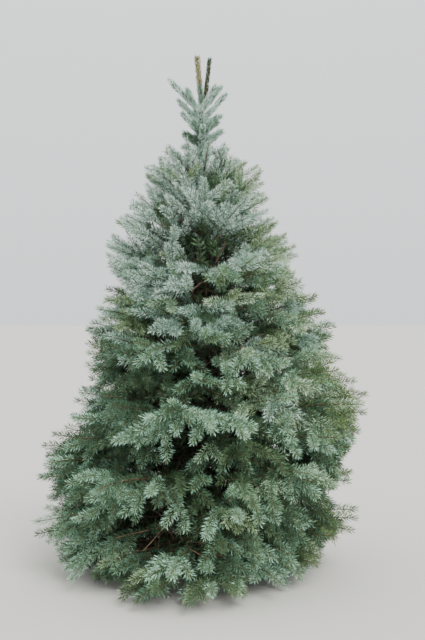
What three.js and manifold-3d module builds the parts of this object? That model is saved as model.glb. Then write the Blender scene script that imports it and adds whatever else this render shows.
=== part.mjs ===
// A young blue spruce about 2.7 m tall: one whole trunk with a forked leader, tiers of tapering boughs, and
// the separate masses of needles that the boughs carry. Millimetres, +Z up. The origin is the centre of the
// flat cut under the trunk at ground level. Azimuths are in degrees round +Z, from +X towards +Y.

import * as THREE from "three";
import { mergeVertices } from "three/addons/utils/BufferGeometryUtils.js";
import Module from "manifold-3d";

const wasm = await Module();
wasm.setup();

// Driving dimensions of the trunk
const HEIGHT = 2700;
const FORK_HEIGHT = 2385;
const TRUNK_FOOT_RADIUS = 39;
const TRUNK_TIP_RADIUS = 3;
const TAPER_POWER = 1.05;
const FORK_SHIFT_X = 12;
const BOW_X = 9;
const BOW_Y = 12;
const LEADER_TIP_SHIFT_X = -30;
const FLARE = { radius: 17, height: 75, lobes: 5, lobeShare: 0.3 };

// Driving dimensions of the second leader and of the needle coats round both leaders. A coat starts above
// the fork, stands past its leader's tip by the length of a needle and narrows upwards by its taper.
const SECOND_LEADER = { shiftX: 38, height: 2684, radius: 5, tipRadius: 2.5, curve: 0.8 };
const FIRST_COAT = { start: 45, radius: 22, needle: 22, taper: 0.35 };
const SECOND_COAT = { start: 75, radius: 14.5, needle: 15, taper: 0.35 };

// Driving dimensions of the crown. foot is the height at the trunk of the surface that divides two tiers,
// and rise and sag shape it outwards: at a distance r it is foot + rise * r - sag * r * r / 1000 high.
const DIVIDES = [
  { foot: 52, rise: -0.02, sag: 0 },
  { foot: 322, rise: 0.08, sag: 0.07 },
  { foot: 618, rise: 0.13, sag: 0.09 },
  { foot: 905, rise: 0.22, sag: 0.11 },
  { foot: 1180, rise: 0.42, sag: 0.15 },
  { foot: 1440, rise: 0.66, sag: 0.2 },
  { foot: 1715, rise: 0.98, sag: 0.35 },
  { foot: 2010, rise: 0.95, sag: 0.3 },
  { foot: 2255, rise: 1.3, sag: 0.4 },
  { foot: 2392, rise: 1.35, sag: 0.4 },
];

// One tier of the crown between two dividing surfaces. reach is how far its masses stand out from the
// trunk, skew adds to that on the +X side and takes from it on the other, inner is where its masses begin,
// and bough is the radius of its boughs at the trunk. With no bough, its masses close round the trunk.
const TIERS = [
  { below: 0, above: 1, count: 5, phase: 190, reach: 868, skew: -32, inner: 235, bough: 11.5 },
  { below: 1, above: 2, count: 5, phase: 166, reach: 878, skew: -22, inner: 225, bough: 11 },
  { below: 2, above: 3, count: 5, phase: 188, reach: 818, skew: 62, inner: 205, bough: 10 },
  { below: 3, above: 4, count: 4, phase: 178, reach: 706, skew: 60, inner: 170, bough: 9 },
  { below: 4, above: 5, count: 4, phase: 206, reach: 592, skew: 24, inner: 130, bough: 7.5 },
  { below: 5, above: 6, count: 3, phase: 172, reach: 462, skew: -12, inner: 0, bough: 0 },
  { below: 6, above: 7, count: 3, phase: 218, reach: 328, skew: 18, inner: 0, bough: 0 },
  { below: 8, above: 9, count: 4, phase: 140, reach: 172, skew: 0, inner: 0, bough: 0 },
];
const TIER_GAP = 14;
const WEDGE_GAP_DEG = 2.6;
const BOUGH_TIP_SHARE = 0.62;
const BOUGH_ENTRY = 26;
const SEAT_GAP = 0.3;

// How a mass differs from a plain wedge: the squareness of its edges, the lobes where its sprays stand out,
// and a ripple over its faces, as shares of its size.
const SQUARENESS = 3.1;
const LOBES = { count: 7, depth: 0.15, sideShare: 0.35 };
const RIPPLE = { depth: 0.08, waves: new THREE.Vector3(5, 4, 3) };
const REACH_SPREAD = 0.02;

// Fineness of the solids
const TRUNK_SIDES = 15;
const TRUNK_ROWS = 16;
const TRUNK_ROW_POWER = 1.35;
const BOUGH_SIDES = 6;
const BOUGH_ROWS = 2;
const LEADER_SIDES = 6;
const LEADER_ROWS = 3;
const COAT_SIDES = 8;
const COAT_RINGS = 7;
const MASS_SIDES = 12;
const MASS_RINGS = 8;
const PATH_STEP = 0.01;
const PATH_END = 0.999;
const MERGE_DISTANCE = 0.001;

const rad = THREE.MathUtils.degToRad;
const lerp = THREE.MathUtils.lerp;
const UP = new THREE.Vector3(0, 0, 1);

const bark = new THREE.MeshStandardMaterial({ color: 0x5b4638, roughness: 0.92, metalness: 0 });
const youngBark = new THREE.MeshStandardMaterial({ color: 0x7a6250, roughness: 0.85, metalness: 0 });
const needles = new THREE.MeshStandardMaterial({ color: 0x6f8878, roughness: 0.7, metalness: 0 });
const tanNeedles = new THREE.MeshStandardMaterial({ color: 0x95835a, roughness: 0.75, metalness: 0 });

// A repeatable number from 0 to 1 for a seed.
function chance(seed) {
  const s = Math.sin(seed * 127.1 + 311.7) * 43758.5453;
  return s - Math.floor(s);
}

// A wave between 0 and 1.
function wave(angle) {
  return (1 + Math.cos(angle)) / 2;
}

// Where the middle of the trunk is at a height. It bows a little, and leans left above the fork.
function trunkAxis(z) {
  const t = Math.min(z / FORK_HEIGHT, 1);
  const past = Math.max(0, (z - FORK_HEIGHT) / (HEIGHT - FORK_HEIGHT));
  const x = FORK_SHIFT_X * t + BOW_X * Math.sin(2 * Math.PI * t) + LEADER_TIP_SHIFT_X * past;
  return new THREE.Vector3(x, BOW_Y * Math.sin(Math.PI * t), z);
}

function trunkRadius(z, azimuth) {
  const left = Math.max(0, 1 - z / HEIGHT);
  const stem = TRUNK_TIP_RADIUS + (TRUNK_FOOT_RADIUS - TRUNK_TIP_RADIUS) * left ** TAPER_POWER;
  const lobe = 1 + FLARE.lobeShare * Math.cos(FLARE.lobes * azimuth);
  return stem + FLARE.radius * lobe * Math.exp(-z / FLARE.height);
}

// Height at a distance r from the trunk of the surface that divides two tiers.
function divideHeight(divide, r) {
  return divide.foot + divide.rise * r - (divide.sag * r * r) / 1000;
}

function tierMiddle(tier, r) {
  return (divideHeight(DIVIDES[tier.below], r) + divideHeight(DIVIDES[tier.above], r)) / 2;
}

// A point by azimuth, distance from the trunk's middle and height.
function aroundTrunk(azimuth, r, z) {
  const middle = trunkAxis(z);
  return new THREE.Vector3(middle.x + r * Math.cos(azimuth), middle.y + r * Math.sin(azimuth), z);
}

// Moves each vertex of a geometry to place(vertex) and returns the solid.
function reshaped(geometry, place) {
  const at = geometry.attributes.position;
  const v = new THREE.Vector3();
  for (let i = 0; i < at.count; i++) {
    v.copy(place(v.fromBufferAttribute(at, i)));
    at.setXYZ(i, v.x, v.y, v.z);
  }
  geometry.deleteAttribute("normal");
  geometry.deleteAttribute("uv");
  const merged = mergeVertices(geometry, MERGE_DISTANCE);
  return new wasm.Manifold(
    new wasm.Mesh({
      numProp: 3,
      vertProperties: merged.attributes.position.array,
      triVerts: new Uint32Array(merged.index.array),
    }),
  );
}

// The largest body of a solid, in case a cut leaves crumbs.
function largest(made) {
  return made.decompose().sort((a, b) => b.volume() - a.volume())[0];
}

function geometryOf(made) {
  const mesh = made.getMesh();
  const geometry = new THREE.BufferGeometry();
  geometry.setAttribute("position", new THREE.BufferAttribute(mesh.vertProperties, mesh.numProp));
  geometry.setIndex(new THREE.BufferAttribute(mesh.triVerts, 1));
  geometry.computeVertexNormals();
  return geometry;
}

// A tapering limb along path(t), t from 0 to 1, of radius(t), with a clearance all round and past its end.
function limb(path, radius, sides, rows, clearance) {
  return reshaped(new THREE.CylinderGeometry(1, 1, 1, sides, rows), (v) => {
    const t = v.y + 0.5;
    const before = path(Math.max(0, t - PATH_STEP));
    const ahead = path(Math.min(1, t + PATH_STEP)).sub(before).normalize();
    const side = new THREE.Vector3().crossVectors(ahead, UP).normalize();
    const lift = new THREE.Vector3().crossVectors(side, ahead);
    const r = radius(t) + clearance;
    return path(t)
      .addScaledVector(side, v.x * r)
      .addScaledVector(lift, v.z * r)
      .addScaledVector(ahead, t > PATH_END ? clearance : 0);
  });
}

// The whole trunk and first leader, from the flat cut at ground level to its tip.
function trunkSolid(clearance) {
  return reshaped(new THREE.CylinderGeometry(1, 1, 1, TRUNK_SIDES, TRUNK_ROWS), (v) => {
    const t = v.y + 0.5;
    const z = (HEIGHT - FIRST_COAT.needle) * t ** TRUNK_ROW_POWER;
    const azimuth = Math.atan2(-v.z, v.x);
    const r = Math.hypot(v.x, v.z) * (trunkRadius(z, azimuth) + clearance);
    return aroundTrunk(azimuth, r, t > PATH_END ? z + clearance : z);
  });
}

function firstLeaderPath(t) {
  return trunkAxis(lerp(FORK_HEIGHT, HEIGHT - FIRST_COAT.needle, t));
}

function secondLeaderPath(t) {
  const foot = trunkAxis(FORK_HEIGHT);
  const z = lerp(FORK_HEIGHT, SECOND_LEADER.height - SECOND_COAT.needle, t);
  return new THREE.Vector3(foot.x + SECOND_LEADER.shiftX * t ** SECOND_LEADER.curve, foot.y, z);
}

function secondLeader(clearance) {
  const radius = (t) => lerp(SECOND_LEADER.radius, SECOND_LEADER.tipRadius, t);
  return limb(secondLeaderPath, radius, LEADER_SIDES, LEADER_ROWS, clearance);
}

// The needle coat of a leader: a spindle along its path from just over the fork to past its tip.
function needleCoat(path, coat) {
  const foot = FORK_HEIGHT + coat.start;
  const tip = path(1).z;
  return reshaped(new THREE.SphereGeometry(1, COAT_SIDES, COAT_RINGS), (v) => {
    const t = (1 + v.y) / 2;
    const z = lerp(foot, tip + coat.needle, t);
    const along = (z - FORK_HEIGHT) / (tip - FORK_HEIGHT);
    const middle = path(Math.min(1, along));
    const r = coat.radius * (1 - coat.taper * t);
    return new THREE.Vector3(middle.x + v.x * r, middle.y - v.z * r, z);
  });
}

// The bough of one mass, from the trunk's middle along its tier's middle surface to just inside the mass.
function boughSolid(tier, azimuth, clearance) {
  const end = tier.inner + BOUGH_ENTRY;
  const path = (t) => aroundTrunk(azimuth, t * end, tierMiddle(tier, t * end));
  const radius = (t) => tier.bough * lerp(1, BOUGH_TIP_SHARE, t);
  return limb(path, radius, BOUGH_SIDES, BOUGH_ROWS, clearance);
}

// One mass of needles: a squarish ball drawn out into a wedge in azimuth, distance and height, with lobes.
function massSolid(tier, azimuth, seed) {
  const half = rad(180 / tier.count - WEDGE_GAP_DEG / 2);
  const spread = 1 + REACH_SPREAD * (2 * chance(seed) - 1);
  const reach = (tier.reach + tier.skew * Math.cos(azimuth)) * spread;
  const turn = 2 * Math.PI * chance(seed + 0.5);
  return reshaped(new THREE.SphereGeometry(1, MASS_SIDES, MASS_RINGS), (v) => {
    const power = Math.abs(v.x) ** SQUARENESS + Math.abs(v.y) ** SQUARENESS + Math.abs(v.z) ** SQUARENESS;
    const square = power ** (1 / SQUARENESS);
    const plan = Math.atan2(v.x, v.y);
    const lobe = LOBES.depth * wave(LOBES.count * plan + turn) * Math.hypot(v.x, v.y);
    const ripple = RIPPLE.depth * wave(v.dot(RIPPLE.waves) + turn);
    const out = (v.y / square) * (v.y > 0 ? 1 - lobe : 1);
    const across = (v.x / square) * (1 - LOBES.sideShare * lobe - ripple);
    const up = (v.z / square) * (1 - ripple);
    const r = lerp(tier.inner, reach, (1 + out) / 2);
    const low = divideHeight(DIVIDES[tier.below], r) + TIER_GAP / 2;
    const high = divideHeight(DIVIDES[tier.above], r) - TIER_GAP / 2;
    return aroundTrunk(azimuth - half * across, r, lerp(low, high, (1 + up) / 2));
  });
}

function add(group, name, made, material) {
  const mesh = new THREE.Mesh(geometryOf(largest(made)), material);
  mesh.name = name;
  group.add(mesh);
}

// The trunk and both leaders, each leader's needle coat cut round the stems inside it.
function addStems(tree, trunkRoom) {
  const leaderRoom = secondLeader(SEAT_GAP);
  const coat = (path, sizes) => needleCoat(path, sizes).subtract(trunkRoom).subtract(leaderRoom);
  add(tree, "trunk", trunkSolid(0), bark);
  add(tree, "second_leader", secondLeader(0).subtract(trunkRoom), youngBark);
  add(tree, "leader_needles", coat(firstLeaderPath, FIRST_COAT), tanNeedles);
  add(tree, "second_leader_needles", coat(secondLeaderPath, SECOND_COAT), needles);
}

// One tier: its boughs cut round the trunk, and its masses cut round the trunk and round their boughs.
function addTier(tree, tier, number, trunkRoom) {
  for (let i = 0; i < tier.count; i++) {
    const azimuth = rad(tier.phase + (360 * i) / tier.count);
    let mass = massSolid(tier, azimuth, 10 * number + i).subtract(trunkRoom);
    if (tier.bough > 0) {
      const bough = boughSolid(tier, azimuth, 0).subtract(trunkRoom);
      add(tree, `tier_${number}_bough_${i + 1}`, bough, bark);
      mass = mass.subtract(boughSolid(tier, azimuth, SEAT_GAP));
    }
    add(tree, `tier_${number}_foliage_${i + 1}`, mass, needles);
  }
}

function buildTree() {
  const tree = new THREE.Group();
  const trunkRoom = trunkSolid(SEAT_GAP);
  addStems(tree, trunkRoom);
  TIERS.forEach((tier, i) => addTier(tree, tier, i + 1, trunkRoom));
  return tree;
}

export default buildTree();
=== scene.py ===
# A young blue spruce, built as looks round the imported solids. Metres, +Z up, the trunk's foot at the
# origin and the viewer on the -Y side. Boughs, side branches, twigs and needles grow on from the trunk by
# one seeded rule.

import math
from dataclasses import dataclass

import bpy
import numpy as np
from mathutils import Matrix, Vector, noise
from mathutils.bvhtree import BVHTree
from mathutils.kdtree import KDTree


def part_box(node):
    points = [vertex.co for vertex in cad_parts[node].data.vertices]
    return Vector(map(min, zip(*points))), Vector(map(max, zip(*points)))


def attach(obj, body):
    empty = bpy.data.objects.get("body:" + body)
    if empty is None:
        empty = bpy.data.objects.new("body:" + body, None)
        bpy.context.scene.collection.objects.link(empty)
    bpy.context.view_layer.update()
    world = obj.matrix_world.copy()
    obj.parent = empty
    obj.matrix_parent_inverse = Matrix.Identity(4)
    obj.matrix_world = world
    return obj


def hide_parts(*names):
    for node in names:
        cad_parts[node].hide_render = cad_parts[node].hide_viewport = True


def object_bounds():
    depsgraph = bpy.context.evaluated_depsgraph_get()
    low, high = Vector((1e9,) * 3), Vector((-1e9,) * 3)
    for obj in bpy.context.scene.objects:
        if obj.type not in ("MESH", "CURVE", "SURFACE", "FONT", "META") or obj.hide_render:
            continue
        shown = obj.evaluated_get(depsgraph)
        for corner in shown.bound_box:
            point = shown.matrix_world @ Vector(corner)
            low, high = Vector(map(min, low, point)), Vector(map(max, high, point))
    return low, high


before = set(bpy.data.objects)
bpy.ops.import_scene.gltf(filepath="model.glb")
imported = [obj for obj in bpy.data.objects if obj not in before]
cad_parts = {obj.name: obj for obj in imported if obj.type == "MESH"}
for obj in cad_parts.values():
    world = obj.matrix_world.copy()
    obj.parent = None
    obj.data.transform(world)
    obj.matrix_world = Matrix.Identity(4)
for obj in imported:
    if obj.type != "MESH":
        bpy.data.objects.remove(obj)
cad_low, cad_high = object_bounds()

SEED = 54
UP = Vector((0, 0, 1))
GOLDEN_ANGLE = math.pi * (3 - math.sqrt(5))
MOST_TRIANGLES = 190_000

# The camera stands where the photo was taken from, level, with the photo's frame
CAMERA_AT = (0.065, -4.67, 1.30)
CAMERA_LENS = 50.0
CAMERA_SENSOR = 36.0

# Layers of boughs, by height: the slope at which a bough leaves the trunk and how much it sags outwards
RISE_BY_HEIGHT = (
    (0.05, 0.1), (0.32, 0.22), (0.62, 0.3), (0.9, 0.38), (1.18, 0.5), (1.44, 0.66), (1.7, 0.88),
)
SAG_BY_HEIGHT = (
    (0.05, 0.14), (0.32, 0.2), (0.62, 0.18), (0.9, 0.16), (1.18, 0.18), (1.44, 0.26), (1.7, 0.34),
)
RISE_VARIES = 0.05

# Side shoots hang a little under their layer low in the crown and stand over it high up. This year's shoots
# droop by a varying share of that.
HANG_BY_HEIGHT = ((0.0, -0.1), (0.3, -0.26), (1.1, -0.24), (1.6, -0.02), (2.2, 0.12))
TIP_HANG = (0.5, 2.4)

# Layers of boughs: height at the trunk, number, azimuth of the first in degrees, share of the outline that
# they reach, tier of solids that they belong to, and whether they start on that tier's solid boughs
LAYERS = (
    (0.09, 14, 255, 0.97, 1, False),
    (0.187, 5, 190, 1.0, 1, True),
    (0.33, 5, 206, 0.97, 2, False),
    (0.47, 5, 166, 1.0, 2, True),
    (0.62, 5, 212, 0.97, 3, False),
    (0.762, 5, 188, 1.0, 3, True),
    (0.905, 5, 170, 0.97, 4, False),
    (1.043, 4, 178, 1.0, 4, True),
    (1.18, 5, 200, 0.97, 5, False),
    (1.31, 4, 206, 1.0, 5, True),
    (1.44, 5, 182, 0.97, 6, False),
    (1.58, 5, 165, 1.0, 6, False),
    (1.715, 5, 200, 0.97, 7, False),
    (1.86, 5, 176, 1.0, 7, False),
    (1.98, 5, 212, 1.0, 7, False),
)

# How far the crown's edge stands from the trunk on either side of the picture, by height there. Boughs in
# front of the trunk show lower than they are, so the tables start below the ground.
EDGE_LEFT = (
    (-0.18, 0.4), (-0.12, 0.62), (-0.06, 0.68), (0.0, 0.7), (0.06, 0.75), (0.13, 0.78), (0.2, 0.87),
    (0.45, 0.86), (0.63, 0.85), (0.75, 0.7), (1.1, 0.6), (1.25, 0.6), (1.34, 0.56), (1.5, 0.47),
    (1.61, 0.47), (1.75, 0.54), (1.85, 0.41), (2.0, 0.3), (2.17, 0.27), (2.21, 0.14), (2.27, 0.1),
    (2.45, 0.11), (2.53, 0.15),
)
EDGE_RIGHT = (
    (-0.18, 0.3), (-0.12, 0.51), (-0.06, 0.58), (0.0, 0.6), (0.06, 0.64), (0.14, 0.7), (0.2, 0.8),
    (0.3, 0.82), (0.345, 0.67), (0.385, 0.64), (0.42, 0.7), (0.46, 0.8), (0.62, 0.78), (0.7, 0.84),
    (0.88, 0.86), (0.95, 0.85), (1.02, 0.77), (1.15, 0.71), (1.25, 0.71), (1.38, 0.65), (1.44, 0.59),
    (1.57, 0.5), (1.65, 0.51), (1.76, 0.46), (1.85, 0.39), (2.0, 0.32), (2.12, 0.31), (2.16, 0.15),
    (2.3, 0.13), (2.47, 0.15), (2.53, 0.12),
)
EDGE_MARGIN = 0.008

# How far a bough may reach past its solid mass towards the picture's edges: a little from the first
# sideways share of its direction on, and far from the second on
EDGE_STRETCH = 0.06
EDGE_FULL_STRETCH = 0.25
SIDEWAYS_FROM = 0.75
SIDEWAYS_FULL = 0.88

# Lesser boughs end all over the crown's surface, more of them where it is wide and on the picture's sides
LESSER_COUNT = 110
LESSER_SPREAD = 0.4
LESSER_SECTOR = 0.5
LESSER_TIPS = (0.07, 2.1)
LESSER_ROOTS = (0.07, 2.06)
SIDE_CROWDING = 0.12

# Boughs that end at the crown's edge in the picture: the heights of their tips on the left and the right
LEFT_TIPS = (0.16, 0.44, 0.63, 0.88, 1.14, 1.27, 1.44, 1.74, 1.87, 2.1)
RIGHT_TIPS = (0.2, 0.29, 0.48, 0.6, 0.7, 0.79, 0.87, 0.93, 0.98, 1.24, 1.38, 1.67, 1.75, 2.02, 2.12)

# Short boughs, nearly bare, in the shade round the trunk: how many, their needles, the height from which
# on and the span over which they start, their parts, how far they reach, their sag and radius
STUB_COUNT = 80
STUB_NEEDLES = 0.3
STUB_FROM = 0.12
STUB_SPAN = 1.7
STUB_PARTS = 3
STUB_REACH = 0.36
STUB_REACH_SHARE = 0.55
STUB_SAG = 0.2
STUB_RADIUS = 0.0032

# Further lesser boughs where the crown's surface is thinnest: how many, the heights between which it is
# looked at, the cells of that map, the share of the crown's depth from which on it is surface, and the
# oldest shoots that cover it
OPENING_BOUGHS = 14
OPENING_HEIGHTS = (0.25, 1.75)
OPENING_STEP = 0.07
OPENING_TURNS = 48
OPENING_DEPTH = 0.6
OPENING_AGE = 2

# Shoots in painted shade tints, some dead and brown, where the crown would let light through. A map of
# cells counts the layers of needles seen from each side, spread over a few cells each. Patches of it are
# filled up to a least cover by height.
FILL_VIEWS = (0, 90, 45, 135, 0)
FILL_ROUNDS = 2
FILL_CELL = 0.012
FILL_ROWS = 240
FILL_COLUMNS = 200
FILL_BORDER = 3
FILL_SPREAD = 5
FILL_PATCH = 3
FILL_COVER = ((1.2, 5.5), (1.7, 3.6))
FILL_HEIGHTS = (0.1, 2.02)
FILL_MARGIN = 0.06

# One such shoot: the cover that counts as one, the places tried for it on the line of sight, how deep in
# the crown and how far from a limb it may be, how far it ends beyond its place, and its needles
FILL_STEP = 1.2
FILL_ROUNDING = 0.3
FILL_TRIES = 12
FILL_TRY_SPAN = 0.45
FILL_DEPTH = 0.55
FILL_LOWEST = 0.06
FILL_FARTHEST = 0.16
FILL_VARIES = 0.25
FILL_BEYOND = (0.05, 0.08)
FILL_NEEDLES = 0.6
FILL_SIZE = 1.05
NEEDLE_SEEN_SHARE = 0.3

# Dark hollows that the viewer looks into, where the young shoots are left out: their middle and half size
# in the picture at the trunk's distance, and the share of the crown's depth that stays filled behind them
HOLLOWS = ((0.018, 1.652, 0.12, 0.068), (0.0, 1.455, 0.055, 0.085), (-0.2, 0.145, 0.22, 0.042))
HOLLOW_DEPTH = 0.32
HOLLOW_AGE = 1

# Short side branches between the whorls of the upper trunk: how many, the height from which on and the
# span over which they start, their slope by height, their vigour and what they are thicker than others
STEM_SIDES = 64
STEM_SIDE_FROM = 1.2
STEM_SIDE_SPAN = 0.93
STEM_SIDE_SLOPE = ((1.2, 0.35), (1.7, 0.6), (2.15, 0.85))
STEM_SIDE_VIGOUR = 1.05
STEM_SIDE_ROOT = 0.0006
STEM_SIDE_TIP = 0.0003

# Growth of the branches: a year's length and how much longer each older year's is, the strength, chance and
# angle of side shoots by their order, and how much a branch turns outwards along its layer
YEAR_GROWTH = 0.165
OLDER_GROWTH = 1.03
GROWTH_VARIES = (0.84, 1.12)
SHORTEST_SHOOT = 0.045
WOBBLE = 0.07
SIDE_VIGOUR = (0.9, 0.84, 0.8)
SIDE_CHANCE = (0.95, 0.6, 0.0)
SIDE_ANGLE = (math.radians(44), math.radians(60))
PAIR_VARIES = 0.18
PAIR_VIGOUR = (0.86, 1.1)
ALONG_CHANCE = 0.3
ALONG_VARIES = 0.3
ALONG_SPAN = (0.35, 0.75)
ALONG_VIGOUR = (0.6, 0.85)
UPPER_CHANCE = 0.16
UPPER_RAISE = (0.45, 0.9)
UPPER_VIGOUR = 0.8
LOWER_CHANCE = 0.24
LOWER_DROP = (0.3, 0.6)
LOWER_VIGOUR = 0.75
FORWARD_PULL = 0.13
SHORTENED = 0.62
SECTOR_OVERLAP = 1.15
OUTLINE_MARGIN = 0.02
LOWEST_TIP = 0.035
LIVE_YEARS = 7

# Some twigs show as a tan line because their needles part: how many, how much thicker they are, and how
# far their needles turn down
PARTED_SHARE = 0.2
PARTED_THICKER = 1.15
PARTED_TURN = -0.45

# A bough's own axis: the reach that the search for its tip starts from, the shortest one, the steps by
# which it is cut until it fits, how far it swings aside and bends, and the share of it that is bare
FIRST_REACH = 0.3
SHORTEST_BOUGH = 0.2
BOUGH_CUT = 0.02
BOUGH_SWING = 0.05
BOUGH_BEND = 0.004
BARE_SHARE = 0.36

# Dead twigs on the inner share of a bough: how many, half as many above a height, how deep in the crown
# they end, the length of their parts, how far they spread, and their radii
DEAD_TWIG_SHARE = 0.62
DEAD_TWIGS_PER_METRE = 34
DEAD_TWIGS_FEWER_ABOVE = 1.2
DEAD_TWIG_REACH = 0.72
DEAD_TWIG_LENGTH = (0.05, 0.1)
DEAD_TWIG_SPREAD = 0.6
DEAD_TWIG_BEND = 0.4
DEAD_TWIG_RADII = ((0.0017, 0.0012), (0.0013, 0.0012))

# The tints that one spray's shoots have by age, this year's first, paler on young shoots and darker on
# older inner ones, partly the needles'
# own ageing and partly painted shade: each kind of spray in ranks of painted light and shade, from its best
# lit rank to its most shaded
SPRAY_TINTS = {
    "frosty": ("frost silver mist mid", "frost mist pine mid", "silver mist mid moss"),
    "blue": ("silver mist pine moss", "aqua teal pine moss", "mist pine moss dark"),
    "teal": ("aqua teal mid dark", "teal pine moss dark", "pine mid moss dark"),
    "green": ("pale sage mid dark", "sage mid moss dark", "mid moss dark dark"),
    "sunny": ("wheat pale sage mid", "pale sage mid moss", "sage mid moss dark"),
    "leafy": ("leaf fern moss dark", "fern mid moss dark", "mid moss dark dark"),
    "rim": ("lime lime moss dark",),
}

# Where sprays change: paler with height, partly bluer needles and partly painted light; painted shade low
# down and on the left, painted light and a yellower hue on the right, lime at the right edge
PALE_FROM = 0.8
PALE_SPAN = 0.9
LOW_BELOW = 0.75
LOW_PAINTED_SHADE = 0.07
LEFT_FROM = -0.15
LEFT_HEIGHTS = (0.65, 1.6)
LEFT_PAINTED_SHADE = 0.34
RIGHT_FROM = 0.12
RIGHT_LIT_FROM = 0.85
RIGHT_PAINTED_LIGHT = 0.4
RIGHT_YELLOWER = 0.22
FOOT_BELOW = 0.3
FOOT_YELLOWER = 0.12
RIM_FROM = 0.54
RIM_SHARE = 0.88

# The chances of the two ranks painted as better lit and what height adds to them, and of each kind of spray
BEST_LIT_SHARE = 0.46
BEST_LIT_HIGH = 0.4
LIT_SHARE = 0.74
LIT_HIGH = 0.22
TEAL_SHARE = 0.74
SUNNY_SHARE = 0.5
LEAFY_FROM = 0.92
FROSTY_FROM = 0.7

# Needles deep in the crown take painted shade tints, lighter where the crown is thin, and some of those
# that fill it are dead and brown
PALER_ABOVE = 1.15
PALEST_ABOVE = 1.72
BROWN_SHARE = 0.2

# Needles: how many, their size, where they are widest, how much they curve up, turn about themselves and
# point up, and how their number and size change with the shoot's age and its height
NEEDLES_PER_METRE = 770
NEEDLE_LENGTH = 0.041
NEEDLE_WIDTH = 0.0041
NEEDLE_WIDEST = 0.55
NEEDLE_CURVE = 0.16
NEEDLE_ROLL = 0.8
NEEDLE_LIFT = 0.1
LOWEST_NEEDLE = 0.002
LEAN_VARIES = 6
NEEDLE_SHARE_BY_AGE = (1.0, 0.88, 0.5, 0.32, 0.26, 0.22, 0.2)
NEEDLE_LENGTH_BY_AGE = (1.0, 0.96, 0.92, 1.0, 1.1, 1.15, 1.2)
NEEDLE_WIDTH_BY_AGE = (1.0, 1.05, 1.4, 2.0, 2.4, 2.6, 2.6)
NEEDLE_SIZE_BY_HEIGHT = ((1.2, 1.0), (1.9, 0.84), (2.15, 0.76), (2.3, 0.7))
# The share of needles painted whole in their darker tint as shade
SHADED_NEEDLES = 0.25

# The last needles of this year's shoots lean forward and make a brush, from a share of the shoot on
BRUSH_FROM = 0.72
BRUSH_SPAN = 0.28
BRUSH_LEAN = 30

# The shoots of the topmost whorl: height on the stem, azimuth and slope in degrees, length, tint
TOP_SHOOTS = (
    (2.39, 186, 42, 0.232, "frost"),
    (2.33, 170, 43, 0.168, "silver"),
    (2.275, 196, 42, 0.145, "frost"),
    (2.235, 205, 16, 0.1, "mist"),
    (2.185, 176, 9, 0.095, "silver"),
    (2.36, 204, 58, 0.16, "silver"),
    (2.215, 160, 28, 0.105, "mist"),
    (2.4, 8, 48, 0.158, "silver"),
    (2.345, -14, 42, 0.182, "frost"),
    (2.325, 24, 22, 0.12, "silver"),
    (2.235, -8, 22, 0.115, "silver"),
    (2.2, 18, 38, 0.11, "frost"),
    (2.39, -32, 54, 0.145, "frost"),
    (2.285, 12, 30, 0.1, "mist"),
    (2.3, 268, 36, 0.13, "frost"),
    (2.25, 296, 32, 0.12, "silver"),
    (2.26, 246, 28, 0.12, "silver"),
    (2.21, 275, 42, 0.12, "frost"),
    (2.375, 88, 45, 0.155, "frost"),
    (2.32, 112, 38, 0.14, "silver"),
    (2.275, 62, 26, 0.12, "silver"),
)

TOP_TIER = 8
TOP_SHOOT_LIFT = 0.12
TOP_SHOOT_RADII = (0.003, 0.0024, 0.0018)
TOP_SHOOT_SIZES = (1.25, 1.15)

# Coats of needles: how many, their lean in degrees, how far they turn up, and their size, which the top
# shoots' own sizes give. The stem's own lengths and tints. The leader's coat is tan from a height on.
TOP_SHOOT_COAT = (2.8, 57, 0.5)
STEM_COAT = (3.6, 48, 0.0, 0.8)
LEADER_COAT = (2.4, 42, 0.0, 1.0)
SECOND_LEADER_COAT = (2.4, 44, 0.0, 0.75)
STEM_STEPS = (1.98, 2.06, 2.14, 2.22, 2.3)
STEM_TINTS = ("silver", "frost", "silver", "silver", "frost")
LEADER_COAT_FROM = 2.37
LEADER_TAN_FROM = 2.5
LEADER_PARTS = 6

# Where the crown's own shoots end round the stem, lower beside it. Over them stands only the top whorl.
CROWN_TOP = 2.13
CROWN_TOP_RISE = 0.07
CROWN_TOP_SPREAD = 0.15
CROWN_TOP_WAVE = 0.02

# A bough as a tube: its radius at the tip, its taper, collar and knots, and the roughness of its bark
BOUGH_TIP = 0.0015
BOUGH_TAPER = 0.85
COLLAR = 0.7
COLLAR_LENGTH = 0.012
KNOT = 0.14
THICK_BOUGH = 0.007
BOUGH_ROUGH = 0.16

# The trunk's bark: its sides, the height up to which its rings are close, its relief and its plates' edges
TRUNK_SIDES = 40
TRUNK_FINE_TO = 0.9
TRUNK_ROUGH = 0.0022
PLATE_EDGE = 0.35

# The light: the dome's strength at the horizon and overhead, the sun's strength, width and tilt in degrees
DOME = (1.5, 1.95)
SUN = 3.1
SUN_WIDTH = 30
SUN_TILT = (34, 24, 0)

# Shapes and tints are drawn apart, so that a change of tints leaves the shapes as they are
rng = np.random.default_rng(SEED)
dye = np.random.default_rng(SEED)


def give_or_take(most):
    """A chance value of up to so much either way."""
    return rng.uniform(-most, most)


def jolt(spread):
    """A chance offset in any direction."""
    return Vector(rng.normal(0, spread, 3))


def outward(azimuth, rise=0.0):
    return Vector((math.cos(azimuth), math.sin(azimuth), rise))


def tone(red, green, blue):
    """A linear colour from display values of 0 to 255."""
    shares = np.array((red, green, blue)) / 255
    linear = np.where(shares <= 0.04045, shares / 12.92, ((shares + 0.055) / 1.055) ** 2.4)
    return (*linear.tolist(), 1.0)


def by_height(table, z):
    heights, values = zip(*table)
    return float(np.interp(z, heights, values))


def points_of(node):
    """The places of a solid's corners, each once."""
    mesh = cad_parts[node].data
    at = np.empty(len(mesh.vertices) * 3)
    mesh.vertices.foreach_get("co", at)
    return np.unique(at.reshape(-1, 3).round(5), axis=0)


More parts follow.
